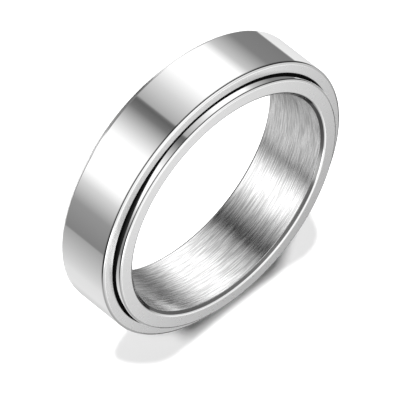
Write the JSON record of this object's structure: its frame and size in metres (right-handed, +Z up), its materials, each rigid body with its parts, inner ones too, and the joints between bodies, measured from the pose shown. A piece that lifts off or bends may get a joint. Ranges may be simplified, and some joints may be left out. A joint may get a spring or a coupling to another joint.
{
  "type": "spinner ring",
  "caption": "Steel finger ring with a flat outer band that turns freely round a rimmed inner band.",
  "frame": {"origin": "centre of the bore at the lower end face, on the surface that the ring lies on", "axes": "+Z up along the bore axis, from the rim that the ring lies on to the other rim; X and Y across the ring, alike all round"},
  "size_m": [0.024, 0.024, 0.006],
  "materials": {
    "inner_steel": "stainless steel, satin end faces, polished edges, bore brushed round the axis",
    "spinner_steel": "stainless steel, mirror-polished outside, satin end faces, polished edges"
  },
  "bodies": {
    "inner": {"inner_band": "inner_steel"},
    "spinner": {"spinner_band": "spinner_steel"}
  },
  "joints": [
    {"name": "spin", "type": "hinge", "parent": "inner", "child": "spinner", "pos_m": [0, 0, 0.003], "axis": [0, 0, 1], "continuous": true}
  ]
}
